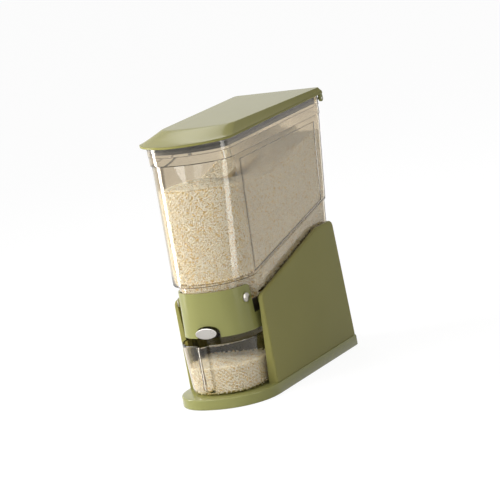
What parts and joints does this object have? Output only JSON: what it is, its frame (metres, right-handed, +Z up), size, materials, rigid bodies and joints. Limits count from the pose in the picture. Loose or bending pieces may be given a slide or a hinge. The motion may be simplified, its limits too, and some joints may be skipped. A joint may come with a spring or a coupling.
{
  "type": "rice dispenser with measuring cup drawer",
  "caption": "Slim countertop rice dispenser: clear leaning hopper in a cradle stand, hinged lid, press button that drops a flap, and a clear measuring cup that slides out below.",
  "frame": {"origin": "on the table, at the middle of the outline", "axes": "+Z up, front towards -Y, viewer's right +X"},
  "size_m": [0.139, 0.3467, 0.3644],
  "materials": {
    "green_plastic": "glossy sage green moulded plastic",
    "clear_plastic": "clear moulded plastic, slightly warm",
    "grey_plastic": "dark grey plastic with a soft sheen",
    "dark_plastic": "dark brown-black plastic, fine texture",
    "dark_rubber": "matte rubber",
    "bright_chrome": "mirror chrome",
    "steel": "plain steel wire and screws",
    "rice": "dry cream rice grains"
  },
  "bodies": {
    "stand": {"base_plate": "green_plastic", "rubber_feet": "dark_rubber", "plate_screws": "steel", "stand_shell": "green_plastic"},
    "hopper_unit": {"hopper": "clear_plastic", "rice_in_hopper": "rice", "outlet_collar": "green_plastic", "collar_screws": "bright_chrome", "gate_housing": "dark_plastic", "housing_screws": "steel", "flap_pin": "steel", "hinge_pins": "steel"},
    "lid": {"lid_shell": "green_plastic", "lid_liner": "grey_plastic", "lid_gasket": "dark_rubber", "liner_screws": "steel"},
    "button": {"button_cap": "bright_chrome", "push_frame": "dark_plastic", "button_screws": "steel"},
    "flap": {"gate_flap": "dark_plastic", "flap_spring": "steel"},
    "cup": {"measuring_cup": "clear_plastic", "rice_in_cup": "rice"}
  },
  "joints": [
    {"name": "hopper_lift", "type": "slide", "parent": "stand", "child": "hopper_unit", "axis": [0, 0, 1], "range_m": [0, 0.06]},
    {"name": "lid_hinge", "type": "hinge", "parent": "hopper_unit", "child": "lid", "pos_m": [0, 0.1693, 0.3435], "axis": [-1, 0, 0], "range_deg": [0, 100]},
    {"name": "button_press", "type": "slide", "parent": "hopper_unit", "child": "button", "axis": [0, 1, 0], "range_m": [0, 0.005], "stiffness_N_per_m": 300, "springref_m": -0.002},
    {"name": "flap_hinge", "type": "hinge", "parent": "hopper_unit", "child": "flap", "pos_m": [0, -0.093, 0.117], "axis": [1, 0, 0], "range_deg": [0, 40]},
    {"name": "cup_slide", "type": "slide", "parent": "stand", "child": "cup", "axis": [0, -1, 0], "range_m": [0, 0.11]}
  ],
  "couplings": [
    {"joint": "flap_hinge", "follows": "button_press", "rad_per_m": 139.6}
  ]
}
